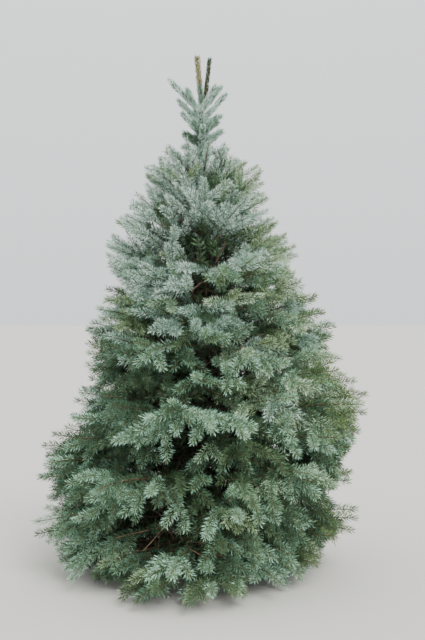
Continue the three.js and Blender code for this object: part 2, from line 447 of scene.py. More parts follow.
def surface_of(nodes):
    """The surface of some solids, to cast rays at."""
    points, faces = [], []
    for name in nodes:
        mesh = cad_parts[name].data
        faces += [[i + len(points) for i in polygon.vertices] for polygon in mesh.polygons]
        points += [v.co.copy() for v in mesh.vertices]
    return BVHTree.FromPolygons(points, faces)


def shifted(grid, rows, columns):
    """A grid shifted by every step of up to so many rows and columns either way."""
    steps = [(a, b) for a in range(-rows, rows + 1) for b in range(-columns, columns + 1)]
    return [np.roll(grid, step, (0, 1)) for step in steps]


class Stem:
    """The middle and radius of an upright solid by height, read from its rings of corners."""

    def __init__(self, node):
        points = points_of(node)
        heights = np.unique(points[:, 2].round(3))
        rings = [points[abs(points[:, 2] - z) < 0.001] for z in heights]
        kept = [(z, ring) for z, ring in zip(heights, rings) if len(ring) > 2]
        self.heights = np.array([z for z, _ in kept])
        self.middles = np.array([ring[:, :2].mean(0) for _, ring in kept])
        spans = [np.hypot(*(ring[:, :2] - ring[:, :2].mean(0)).T) for _, ring in kept]
        self.radii = np.array([np.median(span) for span in spans])

    def middle(self, z):
        x = np.interp(z, self.heights, self.middles[:, 0])
        y = np.interp(z, self.heights, self.middles[:, 1])
        return Vector((x, y, z))

    def radius(self, z):
        return float(np.interp(z, self.heights, self.radii))


class Outline:
    """How far the masses of foliage reach from the trunk, by azimuth and height."""

    turns = 72
    height_step = 0.02

    def __init__(self, stem):
        tree = surface_of(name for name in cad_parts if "foliage" in name)
        rows = int(cad_high.z / self.height_step) + 2
        grid = np.zeros((rows, self.turns))
        far = 2 * max(cad_high.x, cad_high.y)
        for row in range(rows):
            middle = stem.middle(row * self.height_step)
            for turn in range(self.turns):
                azimuth = 2 * math.pi * turn / self.turns
                out = outward(azimuth)
                place, _, _, _ = tree.ray_cast(middle + out * far, -out, far)
                grid[row, turn] = (place - middle).length if place else 0
        self.grid = np.max(shifted(grid, 2, 1), 0)

    def reach(self, azimuth, z):
        row = min(max(int(round(z / self.height_step)), 0), len(self.grid) - 1)
        return float(self.grid[row, int(round(azimuth / (2 * math.pi) * self.turns)) % self.turns])


stem = Stem("trunk")
outline = Outline(stem)


def around(place):
    """Azimuth and distance of a place from the trunk's middle at its height."""
    off = place - stem.middle(place.z)
    return math.atan2(off.y, off.x), math.hypot(off.x, off.y)


@dataclass(slots=True)
class Shoot:
    """One year's growth of one axis. Age 0 grew this year, and order 0 is the bough itself."""

    start: Vector
    end: Vector
    age: int
    order: int
    tier: int
    root: float
    tip: float
    tint: str
    needles: float
    lean: float = 61.0
    upward: float = 0.16
    size: float = 1.0
    bark: int = -1


@dataclass(slots=True)
class Bough:
    """Where a bough leaves the trunk, its layer's slope and sag, and the sector it fills."""

    azimuth: float
    height: float
    rise: float
    sag: float
    sector: float
    tier: int
    radius: float

    def forward(self, place):
        """Outwards along the layer at a place."""
        azimuth, r = around(place)
        slope = self.rise - 2 * self.sag * r
        return outward(azimuth, slope).normalized()

    def on_layer(self, azimuth, r):
        z = self.height + self.rise * r - self.sag * r * r
        middle = stem.middle(z)
        return Vector((middle.x + r * math.cos(azimuth), middle.y + r * math.sin(azimuth), z))


shoots = []
boughs = []


def each(part, name):
    """One value of each of some shoots, as an array."""
    return np.array([getattr(s, name) for s in part])


def spray_tints(place):
    """The tints of one spray's shoots by age, dealt by chance and by where the spray stands: a rank of
    painted light or shade, and a kind of spray.
    """
    rim, pick, hue, sunny, blue = dye.random(5)
    if place.x > RIM_FROM and rim < RIM_SHARE:
        return SPRAY_TINTS["rim"][0].split()
    high = min(max((place.z - PALE_FROM) / PALE_SPAN, 0.0), 1.0)
    right = place.x > RIGHT_FROM
    bright = right and place.z > RIGHT_LIT_FROM
    left = place.x < LEFT_FROM and LEFT_HEIGHTS[0] < place.z < LEFT_HEIGHTS[1]
    # Painted light on the right above a height, painted shade low down and on the left
    pick += -RIGHT_PAINTED_LIGHT * bright + LOW_PAINTED_SHADE * (place.z < LOW_BELOW) + LEFT_PAINTED_SHADE * left
    # The rank of painted light or shade, dealt by chance
    rank = 2 if pick >= LIT_SHARE + LIT_HIGH * high else 1
    if pick < BEST_LIT_SHARE + BEST_LIT_HIGH * high:
        rank = 0
    hue += RIGHT_YELLOWER * right + FOOT_YELLOWER * (place.z < FOOT_BELOW)
    if hue > LEAFY_FROM:
        kind = "leafy"
    elif bright and sunny < SUNNY_SHARE:
        kind = "sunny"
    elif blue < high:
        kind = "frosty" if high > FROSTY_FROM else "blue"
    else:
        kind = "teal" if hue < TEAL_SHARE else "green"
    return SPRAY_TINTS[kind][rank].split()


def shade_tint(z):
    """Painted shade for needles deep in the crown: a dark tint, lighter where the crown is thin."""
    return "dark" if z < PALER_ABOVE else "moss" if z < PALEST_ABOVE else "mid"


def shoot_radii(age, order):
    """The radii of a shoot of a side branch at its root and its tip."""
    thick = 0.00125 + 0.0008 * age / (1 + 0.35 * order)
    return thick + 0.0004, thick


def edge(azimuth, z):
    """The crown's edge on the side of the picture that an azimuth points to."""
    return by_height(EDGE_LEFT if math.cos(azimuth) < 0 else EDGE_RIGHT, z)


def reach(azimuth, z):
    """How far a bough may reach: as the masses do, and a little over them towards the picture's edges."""
    sideways = abs(math.cos(azimuth))
    mass = outline.reach(azimuth, z)
    if sideways < SIDEWAYS_FROM or mass == 0:
        return mass
    stretch = EDGE_FULL_STRETCH if sideways > SIDEWAYS_FULL else EDGE_STRETCH
    return min(max(mass, min(edge(azimuth, z), mass + stretch)), edge(azimuth, z) / sideways)


def seen(place):
    """Where a place shows in the picture, measured at the trunk's distance from the camera."""
    near = CAMERA_AT[1] / (CAMERA_AT[1] - place.y)
    return CAMERA_AT[0] + (place.x - CAMERA_AT[0]) * near, CAMERA_AT[2] + (place.z - CAMERA_AT[2]) * near


def fits(place):
    """Whether a shoot may end at a place: inside the outline and the picture's edges, over the ground."""
    azimuth, r = around(place)
    if place.z < LOWEST_TIP or r > reach(azimuth, place.z) + OUTLINE_MARGIN:
        return False
    seen_x, seen_z = seen(place)
    return abs(seen_x) < edge(0.0 if seen_x > 0 else math.pi, seen_z) + EDGE_MARGIN


def over_hollow(place):
    """Whether a place shows in front of a hollow or in it."""
    seen_x, seen_z = seen(place)
    return any(math.hypot((seen_x - x) / wide, (seen_z - z) / high) < 1 for x, z, wide, high in HOLLOWS)


def in_hollow(place):
    """Whether a place shows in a hollow and lies in that outer share of the crown that is left open."""
    azimuth, r = around(place)
    return place.y < 0 and r > HOLLOW_DEPTH * reach(azimuth, place.z) and over_hollow(place)


def add_shoot(bough, start, end, age, order, radii, tints):
    """One shoot with the needles and the tint of its age."""
    needles = NEEDLE_SHARE_BY_AGE[age] if age < LIVE_YEARS else 0.0
    shoots.append(Shoot(start, end, age, order, bough.tier, *radii, tints[min(age, 3)], needles))
    return shoots[-1]


def grow(bough, start, heading, years, order, vigour, tints):
    """One side branch: a shoot a year, each with side shoots of its own at its end."""
    here, way = start, heading
    for age in reversed(range(years)):
        length = YEAR_GROWTH * vigour * rng.uniform(*GROWTH_VARIES) * OLDER_GROWTH**age
        if length < SHORTEST_SHOOT:
            return
        wobble = jolt(WOBBLE)
        way = (way + bough.forward(here) * FORWARD_PULL + wobble).normalized()
        if age == 0:
            way = (way + UP * by_height(HANG_BY_HEIGHT, here.z) * rng.uniform(*TIP_HANG)).normalized()
        end = here + way * length
        if not fits(end):
            end = here + way * length * SHORTENED
            if not fits(end):
                return
        azimuth, _ = around(end)
        aside = abs((azimuth - bough.azimuth + math.pi) % (2 * math.pi) - math.pi)
        if aside > bough.sector * SECTOR_OVERLAP:
            return
        shoot = add_shoot(bough, here, end, age, order, shoot_radii(age, order), tints)
        if age in (1, 2) and rng.random() < PARTED_SHARE:
            shoot.upward, shoot.bark = PARTED_TURN, PARTED_TWIG
            shoot.root, shoot.tip = PARTED_THICKER * shoot.root, PARTED_THICKER * shoot.tip
        if age > 0:
            fork(bough, here, end, way, age, order + 1, vigour, tints)
        here = end


def turned_aside(way, layer_up, side, lift, varies):
    """A heading turned to one side within a layer and lifted out of it by a varying amount."""
    turned = Matrix.Rotation(side * rng.uniform(*SIDE_ANGLE), 3, layer_up) @ way
    return (turned + layer_up * rng.normal(lift, varies)).normalized()


def fork(bough, start, end, way, age, order, vigour, tints):
    """One shoot's side shoots: a pair at its end, weaker ones along it, some above and below."""
    if order > len(SIDE_CHANCE):
        return
    layer_up = way.cross(UP).cross(way).normalized()
    strength = vigour * SIDE_VIGOUR[order - 1]
    hang = by_height(HANG_BY_HEIGHT, end.z)
    for side in (-1, 1):
        if rng.random() < SIDE_CHANCE[order - 1]:
            heading = turned_aside(way, layer_up, side, hang, PAIR_VARIES)
            grow(bough, end, heading, age, order, strength * rng.uniform(*PAIR_VIGOUR), tints)
        if order < 3 and rng.random() < ALONG_CHANCE:
            at = start.lerp(end, rng.uniform(*ALONG_SPAN))
            heading = turned_aside(way, layer_up, side, hang, ALONG_VARIES)
            grow(bough, at, heading, min(age, 2), 3, strength * rng.uniform(*ALONG_VIGOUR), tints)
    if order < 3 and rng.random() < UPPER_CHANCE:
        raised = (way * 0.8 + layer_up * rng.uniform(*UPPER_RAISE)).normalized()
        grow(bough, end, raised, min(age, 2), 3, strength * UPPER_VIGOUR, tints)
    if order < 3 and rng.random() < LOWER_CHANCE:
        lowered = (way - layer_up * rng.uniform(*LOWER_DROP)).normalized()
        grow(bough, end, lowered, min(age, 2), 3, strength * LOWER_VIGOUR, tints)


def grow_bough(bough, share):
    """The bough's own axis from the trunk to the crown's outline, with its side branches."""
    tip_r = FIRST_REACH
    for _ in range(6):
        tip = bough.on_layer(bough.azimuth, tip_r)
        tip_r = 0.5 * tip_r + 0.5 * reach(bough.azimuth, tip.z) * share
    while tip_r > SHORTEST_BOUGH and not fits(bough.on_layer(bough.azimuth, tip_r)):
        tip_r -= BOUGH_CUT
    slope_run = math.hypot(1, bough.rise - bough.sag * tip_r)
    lengths = []
    growth = YEAR_GROWTH * rng.uniform(0.86, 1.02)
    while sum(lengths) < tip_r * slope_run:
        lengths.append(growth * OLDER_GROWTH ** len(lengths) * rng.uniform(0.92, 1.08))
    reaches = [tip_r - sum(lengths[:i]) / slope_run for i in range(len(lengths) + 1)]
    reaches = [max(r, 0.0) for r in reaches][::-1]
    swing = give_or_take(BOUGH_SWING)
    nodes = [bough.on_layer(bough.azimuth + swing * math.sin(5 * r), r) for r in reaches]
    nodes = [n + jolt(BOUGH_BEND) * min(1, i) for i, n in enumerate(nodes)]
    boughs.append((bough, nodes))
    years = len(nodes) - 1
    for i in range(years):
        start, end, age = nodes[i], nodes[i + 1], years - 1 - i
        way = (end - start).normalized()
        add_shoot(bough, start, end, age, 0, (0.0, 0.0), spray_tints(end))
        if age > 0 and reaches[i + 1] > BARE_SHARE * tip_r:
            fork(bough, start, end, way, age, 1, 1.0, spray_tints(end))
        if reaches[i] < DEAD_TWIG_SHARE * tip_r:
            dead_twigs(bough, start, end, way)


def dead_twigs(bough, start, end, way, needles=0.0):
    """Bare or nearly bare twigs in the shade of the crown."""
    thinner = 1.0 if start.z < DEAD_TWIGS_FEWER_ABOVE else 0.5
    for _ in range(int((end - start).length * DEAD_TWIGS_PER_METRE * thinner * rng.uniform(0.7, 1.3)) + 1):
        here = start.lerp(end, rng.uniform(0, 1))
        heading = (way * rng.uniform(0.2, 0.9) + jolt(DEAD_TWIG_SPREAD)).normalized()
        for radii in DEAD_TWIG_RADII:
            after = here + heading * rng.uniform(*DEAD_TWIG_LENGTH)
            azimuth, r = around(after)
            if r > DEAD_TWIG_REACH * reach(azimuth, after.z) or not fits(after):
                break
            # Their needles take a painted shade tint
            shoots.append(Shoot(here, after, 5, 3, bough.tier, *radii, shade_tint(here.z), needles))
            here, heading = after, (heading + jolt(DEAD_TWIG_BEND)).normalized()


def limb_start(tier, number):
    """Azimuth, height at the trunk and radius there of one solid bough."""
    points = points_of(f"tier_{tier}_bough_{number}")
    off = points[:, :2] - points_of("trunk")[:, :2].mean(0)
    r = np.hypot(off[:, 0], off[:, 1])
    inner, outer = points[r < np.quantile(r, 0.4)].mean(0), points[r > np.quantile(r, 0.7)].mean(0)
    azimuth = math.atan2(outer[1] - inner[1], outer[0] - inner[0])
    return azimuth, float(inner[2]), float(np.ptp(points[r < np.quantile(r, 0.4)][:, 2]) / 2)


def plant_boughs():
    """All boughs and branches: the layers', those between them, and what fills the crown."""
    for level, count, phase, share, tier, limbs in LAYERS:
        for i in range(count):
            if limbs:
                azimuth, height, radius = limb_start(tier, i + 1)
            else:
                azimuth = math.radians(phase + (360 * i / count + give_or_take(7)))
                height = level + give_or_take(0.025)
                radius = 0.0042 + 0.006 * (1 - height / cad_high.z)
            rise = by_height(RISE_BY_HEIGHT, height) + give_or_take(RISE_VARIES)
            sag = by_height(SAG_BY_HEIGHT, height)
            bough = Bough(azimuth, height, rise, sag, math.pi / count, tier, radius)
            grow_bough(bough, share * rng.uniform(0.97, 1.03))
    plant_lesser_boughs()
    plant_stubs()
    plant_stem_sides()
    plant_in_openings()
    fill_gaps()


def tier_at(height):
    """The tier of the layer under a height."""
    return max(tier for level, _, _, _, tier, _ in LAYERS if level <= max(height, LAYERS[0][0]))


def plant_lesser_boughs():
    """Boughs between the layers: some to the crown's edges, the rest spread evenly over its surface."""
    levels = np.linspace(*LESSER_TIPS, 200)
    azimuths = [math.radians(a) for a in range(0, 360, 15)]
    spans = [np.mean([reach(a, z) for a in azimuths]) ** LESSER_SPREAD for z in levels]
    shares = np.cumsum(spans) / np.sum(spans)
    edges = [(math.pi, z) for z in LEFT_TIPS] + [(0.0, z) for z in RIGHT_TIPS]
    tips = [(azimuth + give_or_take(0.1), z) for azimuth, z in edges]
    for i in range(LESSER_COUNT):
        tip_height = float(np.interp((i + rng.uniform(0.1, 0.9)) / LESSER_COUNT, shares, levels))
        azimuth = i * GOLDEN_ANGLE + give_or_take(0.25)
        tips.append((azimuth - SIDE_CROWDING * math.sin(2 * azimuth), tip_height))
    for azimuth, tip_height in tips:
        plant_lesser_bough(azimuth, tip_height)


def plant_lesser_bough(azimuth, tip_height):
    """One bough from the height at the trunk from which its layer's slope takes it to its tip."""
    far = reach(azimuth, tip_height)
    height = tip_height
    for _ in range(8):
        rise, sag = by_height(RISE_BY_HEIGHT, height), by_height(SAG_BY_HEIGHT, height)
        height = min(max(tip_height - rise * far + sag * far * far, LESSER_ROOTS[0]), LESSER_ROOTS[1])
    rise += give_or_take(RISE_VARIES)
    radius = 0.003 + 0.004 * (1 - height / cad_high.z)
    bough = Bough(azimuth, height, rise, sag, LESSER_SECTOR, tier_at(height), radius)
    grow_bough(bough, rng.uniform(0.94, 1.02))


def add_cover(some, cover):
    """Adds the needles of some shoots to a map of the crown's surface, by height and azimuth."""
    for s in some:
        middle = s.start.lerp(s.end, 0.5)
        azimuth, r = around(middle)
        far = reach(azimuth, middle.z)
        if s.needles and s.age <= OPENING_AGE and far and r > OPENING_DEPTH * far:
            row = int(middle.z / OPENING_STEP)
            column = int(azimuth / (2 * math.pi) * OPENING_TURNS) % OPENING_TURNS
            cell = far * 2 * math.pi / OPENING_TURNS * OPENING_STEP
            cover[row, column] += (s.end - s.start).length * s.needles / cell


def plant_in_openings():
    """Lesser boughs whose tips end in the middle of the crown's thinnest places, one after another."""
    cover = np.zeros((int(cad_high.z / OPENING_STEP) + 2, OPENING_TURNS))
    add_cover(shoots, cover)
    low, high = (int(z / OPENING_STEP) for z in OPENING_HEIGHTS)
    for _ in range(OPENING_BOUGHS):
        near = sum(shifted(cover, 1, 1)) / 9
        place = near[low:high].argmin()
        row, column = low + place // OPENING_TURNS, place % OPENING_TURNS
        azimuth, tip_height = 2 * math.pi * (column + 0.5) / OPENING_TURNS, (row + 0.5) * OPENING_STEP
        before = len(shoots)
        plant_lesser_bough(azimuth, tip_height)
        add_cover(shoots[before:], cover)


def plant_stubs():
    """Short boughs in the shade round the trunk, nearly bare."""
    for i in range(STUB_COUNT):
        azimuth = i * GOLDEN_ANGLE + give_or_take(0.3)
        height = STUB_FROM + STUB_SPAN * (i + rng.uniform(0, 1)) / STUB_COUNT
        rise = by_height(RISE_BY_HEIGHT, height) + give_or_take(0.25)
        bough = Bough(azimuth, height, rise, STUB_SAG, LESSER_SECTOR, tier_at(height), STUB_RADIUS)
        far = min(STUB_REACH, STUB_REACH_SHARE * reach(azimuth, height)) * rng.uniform(0.6, 1.0)
        reaches = [far * part / STUB_PARTS for part in range(STUB_PARTS + 1)]
        nodes = [bough.on_layer(azimuth + rng.normal(0, 0.06), r) for r in reaches]
        boughs.append((bough, nodes))
        for start, end in zip(nodes[1:], nodes[2:]):
            dead_twigs(bough, start, end, (end - start).normalized(), STUB_NEEDLES)


def cover_map(eye, across):
    """How many layers of needles cover each cell of the picture that an eye has of the crown."""
    lit = [s for s in shoots if s.needles]
    steps = np.array([(s.end - s.start).length / FILL_CELL for s in lit])
    count = np.maximum(np.ceil(steps).astype(int), 1)
    which = np.repeat(np.arange(len(lit)), count)
    share = (np.arange(len(which)) - np.repeat(np.cumsum(count) - count, count) + 0.5) / count[which]
    start, end = each(lit, "start"), each(lit, "end")
    places = start[which] + (end - start)[which] * share[:, None]
    ages = np.minimum(each(lit, "age"), LIVE_YEARS - 1)
    lengths, widths = np.array(NEEDLE_LENGTH_BY_AGE)[ages], np.array(NEEDLE_WIDTH_BY_AGE)[ages]
    area = NEEDLE_SEEN_SHARE * NEEDLE_LENGTH * NEEDLE_WIDTH * lengths * widths
    amount = each(lit, "needles") * area * NEEDLES_PER_METRE * FILL_CELL * steps / count
    off = places - eye
    ahead = -np.array((eye[0], eye[1], 0.0)) / math.hypot(eye[0], eye[1])
    scale = math.hypot(eye[0], eye[1]) / (off @ ahead)
    columns = ((off @ across) * scale / FILL_CELL + FILL_COLUMNS // 2).astype(int)
    rows = ((eye[2] + off[:, 2] * scale) / FILL_CELL).astype(int)
    cover = np.zeros((FILL_ROWS, FILL_COLUMNS))
    inside = (columns >= FILL_BORDER) & (columns < FILL_COLUMNS - FILL_BORDER)
    inside &= (rows >= FILL_BORDER) & (rows < FILL_ROWS - FILL_BORDER)
    given = amount[which][inside] / (FILL_SPREAD * FILL_CELL) ** 2
    np.add.at(cover, (rows[inside], columns[inside]), given)
    return sum(shifted(cover, FILL_SPREAD // 2, FILL_SPREAD // 2))


def fill_gaps():
    """Shoots in painted shade tints wherever the crown would let light through, looked at from all sides.
    """
    distance = -CAMERA_AT[1]
    for view in FILL_VIEWS:
        a = math.radians(view)
        eye = np.array((CAMERA_AT[0] + distance * math.sin(a), -distance * math.cos(a), CAMERA_AT[2]))
        across = np.array((-eye[1], eye[0], 0)) / math.hypot(eye[0], eye[1])
        for _ in range(FILL_ROUNDS):
            cover = cover_map(eye, across)
            limbs = [s for s in shoots if s.age > 0]
            tree = KDTree(len(limbs))
            for i, s in enumerate(limbs):
                tree.insert(s.start.lerp(s.end, 0.5), i)
            tree.balance()
            low, high = (int(z / FILL_CELL) for z in FILL_HEIGHTS)
            margin = int(FILL_MARGIN / FILL_CELL)
            for row in range(low, high, FILL_PATCH):
                covered = np.nonzero(cover[row:row + FILL_PATCH].mean(0) > FILL_STEP)[0]
                if len(covered) == 0:
                    continue
                for column in range(covered[0] + margin, covered[-1] - margin, FILL_PATCH):
                    z = (row + FILL_PATCH / 2) * FILL_CELL
                    patch = cover[row:row + FILL_PATCH, column:column + FILL_PATCH]
                    missing = by_height(FILL_COVER, z) - patch.mean()
                    middle = column + FILL_PATCH / 2 - FILL_COLUMNS // 2
                    aim = across * middle * FILL_CELL + np.array((0, 0, z))
                    for _ in range(math.ceil(missing / FILL_STEP - FILL_ROUNDING)):
                        fill_towards(Vector(eye), Vector(aim), tree, limbs)


def fill_towards(eye, aim, tree, limbs):
    """One shoot in a painted shade tint or dead brown, from the limb nearest to the line of sight, across
    it.
    """
    best = None
    for _ in range(FILL_TRIES):
        place = aim + (aim - eye).normalized() * give_or_take(FILL_TRY_SPAN)
        azimuth, r = around(place)
        if r > FILL_DEPTH * reach(azimuth, place.z) or place.z < FILL_LOWEST:
            continue
        found, i, far = tree.find(place)
        if best is None or far < best[0]:
            best = (far, found, i, place)
    if best is None or best[0] > FILL_FARTHEST:
        return
    far, start, i, place = best
    way = (place - start).normalized() + jolt(FILL_VARIES)
    end = start + way.normalized() * (far + rng.uniform(*FILL_BEYOND))
    if fits(end):
        # Fill shoots take a painted shade tint, or some the brown of dead needles
        tint = "brown" if dye.random() < BROWN_SHARE and start.z < PALEST_ABOVE else shade_tint(start.z)
        filler = Shoot(start, end, 5, 3, limbs[i].tier, 0.0018, 0.0013, tint, FILL_NEEDLES)
        filler.size = FILL_SIZE
        shoots.append(filler)


def plant_stem_sides():
    """The short side branches that the upper trunk bears between its whorls, steeper towards the top."""
    for i in range(STEM_SIDES):
        height = STEM_SIDE_FROM + STEM_SIDE_SPAN * ((i + rng.uniform(0, 1)) / STEM_SIDES) ** 0.8
        azimuth = i * GOLDEN_ANGLE + give_or_take(0.4)
        slope = by_height(STEM_SIDE_SLOPE, height) + give_or_take(0.15)
        way = outward(azimuth, math.tan(slope)).normalized()
        bough = Bough(azimuth, height, math.tan(slope), 0.3, math.pi, tier_at(height), 0.003)
        before = len(shoots)
        start = stem.middle(height)
        grow(bough, start, way, 2, 1, STEM_SIDE_VIGOUR * rng.uniform(0.85, 1.15), spray_tints(start))
        for shoot in shoots[before:]:
            shoot.root, shoot.tip = shoot.root + STEM_SIDE_ROOT, shoot.tip + STEM_SIDE_TIP


def crown_top(place):
    """The height at which the crown's own shoots end over a place."""
    azimuth, r = around(place)
    rise = CROWN_TOP_RISE * min(r / CROWN_TOP_SPREAD, 1.0)
    return CROWN_TOP + rise + CROWN_TOP_WAVE * math.sin(5 * azimuth)


def end_crown():
    """Opens the hollows, cuts shoots off at the crown's top, and takes out those that start above it."""
    shoots[:] = [s for s in shoots if s.start.z < crown_top(s.start)]
    shoots[:] = [s for s in shoots if s.age > HOLLOW_AGE or not (in_hollow(s.start) or in_hollow(s.end))]
    for s in shoots:
        if any(over_hollow(s.start.lerp(s.end, share)) for share in (0, 0.33, 0.67, 1)):
            s.bark = -1
        over = s.end.z - crown_top(s.end)
        if over > 0:
            s.end = s.start.lerp(s.end, max(1 - over / (s.end.z - s.start.z), 0.1))


def coated(upright, heights, tints, *needles):
    """An upright solid's lengths between some heights, each coated with needles of one tint."""
    ends = [upright.middle(z) for z in heights]
    radii = [upright.radius(z) for z in heights]
    return [
        Shoot(a, b, 1, 0, TOP_TIER, r, r, tint, *needles)
        for a, b, r, tint in zip(ends, ends[1:], radii, tints)
    ]


def leader_shoots():
    """The two leaders' own short lengths, coated with needles."""
    second = Stem("second_leader")
    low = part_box("second_leader_needles")[0].z - 0.01
    heights = np.linspace(LEADER_COAT_FROM, stem.heights[-1], LEADER_PARTS + 1)
    second_heights = np.linspace(low, second.heights[-1], LEADER_PARTS + 1)
    tints = ["mist" if z < LEADER_TAN_FROM else "tan" for z in heights]
    return (
        coated(stem, heights, tints, *LEADER_COAT),
        coated(second, second_heights, ["dark"] * LEADER_PARTS, *SECOND_LEADER_COAT),
    )


def top_whorl():
    """The single shoots that stand out and up from the bare stem under the leaders."""
    made = []
    for height, azimuth, slope, length, tint in TOP_SHOOTS:
        a, e = math.radians(azimuth), math.radians(slope)
        start = stem.middle(height)
        way = Vector((math.cos(a) * math.cos(e), math.sin(a) * math.cos(e), math.sin(e)))
        middle = start + way * length * 0.5
        end = middle + (way + UP * TOP_SHOOT_LIFT).normalized() * length * 0.5
        root, waist, tip = TOP_SHOOT_RADII
        older, newer = ((tint, *TOP_SHOOT_COAT, size) for size in TOP_SHOOT_SIZES)
        made.append(Shoot(start, middle, 1, 1, TOP_TIER, root, waist, *older))
        made.append(Shoot(middle, end, 0, 1, TOP_TIER, waist, tip, *newer))
    return made


def set_inputs(node, values):
    for name, value in values.items():
        node.inputs[name].default_value = value


def new_node(tree, kind, values=()):
    made = tree.nodes.new("ShaderNode" + kind)
    set_inputs(made, dict(values))
    return made


def new_ramp(tree, *ends):
    """A colour ramp from its two ends, each a place and a colour."""
    made = new_node(tree, "ValToRGB")
    for element, (place, colour) in zip(made.color_ramp.elements, ends):
        element.position, element.color = place, colour
    return made


def link(tree, *pairs):
    """Links of one node's output to another's input."""
    for source, output, target, name in pairs:
        tree.links.new(source.outputs[output], target.inputs[name])


def new_material(name, values):
    material = bpy.data.materials.new(name)
    material.use_nodes = True
    set_inputs(material.node_tree.nodes["Principled BSDF"], values)
    return material


def plain_material(name, colour, roughness, sheen=0.0):
    values = {"Base Color": colour, "Roughness": roughness, "Specular IOR Level": 0.4}
    values |= {"Sheen Weight": sheen, "Sheen Roughness": 0.6, "Sheen Tint": (0.85, 0.93, 1.0, 1.0)}
    return new_material(name, values)


def bark_material(name, dark, light, scale, strength):
    """Bark: two browns mixed by a noise, with scales raised by a cell pattern."""
    material = new_material(name, {"Roughness": 0.9, "Specular IOR Level": 0.25})
    tree = material.node_tree
    shader = tree.nodes["Principled BSDF"]
    place = new_node(tree, "TexCoord")
    cells = new_node(tree, "TexVoronoi", {"Scale": scale})
    grain = new_node(tree, "TexNoise", {"Scale": scale * 0.45, "Detail": 8.0, "Roughness": 0.65})
    ramp = new_ramp(tree, (0.32, dark), (0.7, light))
    bump = new_node(tree, "Bump", {"Strength": strength, "Distance": 0.002})
    link(
        tree, (place, "Object", cells, "Vector"), (place, "Object", grain, "Vector"),
        (grain, "Fac", ramp, "Fac"), (ramp, "Color", shader, "Base Color"),
        (cells, "Distance", bump, "Height"), (bump, "Normal", shader, "Normal"),
    )
    return material


# Needles' looks: display colour, roughness, sheen, and the darker tint painted as shade on their base
# halves and on a share of whole needles
NEEDLE_LOOKS = {
    "frost": ((222, 240, 231), 0.5, 0.13, "mist"),
    "silver": ((182, 211, 195), 0.5, 0.11, "mist"),
    "mist": ((132, 163, 147), 0.5, 0.08, "mid"),
    "aqua": ((168, 211, 188), 0.5, 0.1, "sage"),
    "teal": ((112, 154, 130), 0.5, 0.08, "mid"),
    "pine": ((74, 106, 86), 0.55, 0.05, "moss"),
    "wheat": ((204, 220, 190), 0.5, 0.1, "sage"),
    "pale": ((180, 210, 178), 0.5, 0.1, "sage"),
    "sage": ((120, 153, 118), 0.5, 0.08, "mid"),
    "mid": ((84, 113, 80), 0.55, 0.05, "moss"),
    "leaf": ((168, 192, 150), 0.5, 0.08, "fern"),
    "fern": ((112, 138, 96), 0.55, 0.05, "moss"),
    "moss": ((66, 92, 60), 0.6, 0.0, "dark"),
    "dark": ((50, 72, 46), 0.62, 0.0, "dark"),
    "lime": ((116, 138, 74), 0.55, 0.0, "mid"),
    "olive": ((112, 120, 66), 0.6, 0.0, "olive"),
    "brown": ((64, 57, 44), 0.7, 0.0, "brown"),
    "tan": ((166, 154, 122), 0.6, 0.0, "olive"),
}
TINT_NAMES = list(NEEDLE_LOOKS)
NEEDLE_TINTS = [
    plain_material(f"needles_{name}", tone(*colour), roughness, sheen)
    for name, (colour, roughness, sheen, _) in NEEDLE_LOOKS.items()
]
SHADE_PAINTED_TINT = np.array([TINT_NAMES.index(darker) for *_, darker in NEEDLE_LOOKS.values()])

# Twigs' looks by age, and last that of twigs that show between parted needles
TWIG_TINTS = (
    plain_material("twig_new", tone(88, 80, 56), 0.75),
    plain_material("twig_second_year", tone(82, 64, 47), 0.8),
    plain_material("twig_old", tone(92, 76, 62), 0.85),
    plain_material("twig_tan", tone(162, 126, 102), 0.7),
)
PARTED_TWIG = 3
BUD = plain_material("bud_scales", tone(140, 108, 72), 0.6)
BARK = bark_material("bark_scaly", tone(52, 42, 36), tone(118, 100, 84), 160, 0.6)
BOUGH_BARK = bark_material("bark_of_boughs", tone(62, 48, 38), tone(122, 98, 76), 320, 0.5)
YOUNG_BARK = bark_material("bark_young", tone(110, 84, 56), tone(158, 128, 92), 420, 0.3)


def ring_way(corner, sides, side, lift):
    """The direction of one corner of a ring between two directions that are square to each other."""
    angle = 2 * math.pi * corner / sides
    return math.cos(angle) * side + math.sin(angle) * lift


def repeated(corners, size, count):
    """The triangles of many like shapes with so many points each, from those of one."""
    first = size * np.arange(count)[:, None, None]
    return (first + np.array(corners)[None]).reshape(-1, 3)


def tube_triangles(rings, sides):
    """The triangles of a tube of rings that two last points close at its ends."""
    triangles = []
    for ring in range(rings - 1):
        for corner in range(sides):
            after = (corner + 1) % sides
            a, b = ring * sides + corner, ring * sides + after
            triangles += [(a, b, b + sides), (a, b + sides, a + sides)]
    last = (rings - 1) * sides
    for corner in range(sides):
        after = (corner + 1) % sides
        triangles += [(rings * sides, after, corner), (rings * sides + 1, last + corner, last + after)]
    return np.array(triangles)


